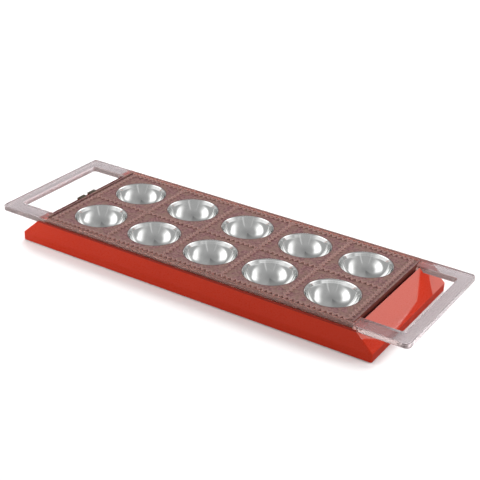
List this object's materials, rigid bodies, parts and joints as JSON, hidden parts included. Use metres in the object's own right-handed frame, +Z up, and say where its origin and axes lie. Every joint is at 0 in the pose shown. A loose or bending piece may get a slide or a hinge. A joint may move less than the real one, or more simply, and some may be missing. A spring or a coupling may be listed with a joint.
{
  "type": "ravioli mold",
  "caption": "Long ravioli mould: a plate of round cups between zigzag cutting ridges in a tapered base, with a clear lift-out frame that ends in open handles.",
  "frame": {"origin": "on the table under the middle of the mould", "axes": "+X along the rows of cups, away from the end with the lift lugs; +Y across the mould; +Z up"},
  "size_m": [0.3428, 0.119, 0.0224],
  "materials": {
    "base_red": "glossy moulded ABS, red",
    "plate": "satin mauve-brown anodised face, bright polished cups",
    "clear_frame": "clear moulded polycarbonate",
    "feet": "matte black rubber"
  },
  "bodies": {
    "root": {"base": "base_red", "plate": "plate", "frame": "clear_frame", "foot_left_near": "feet", "foot_left_far": "feet", "foot_right_near": "feet", "foot_right_far": "feet"}
  },
  "joints": []
}
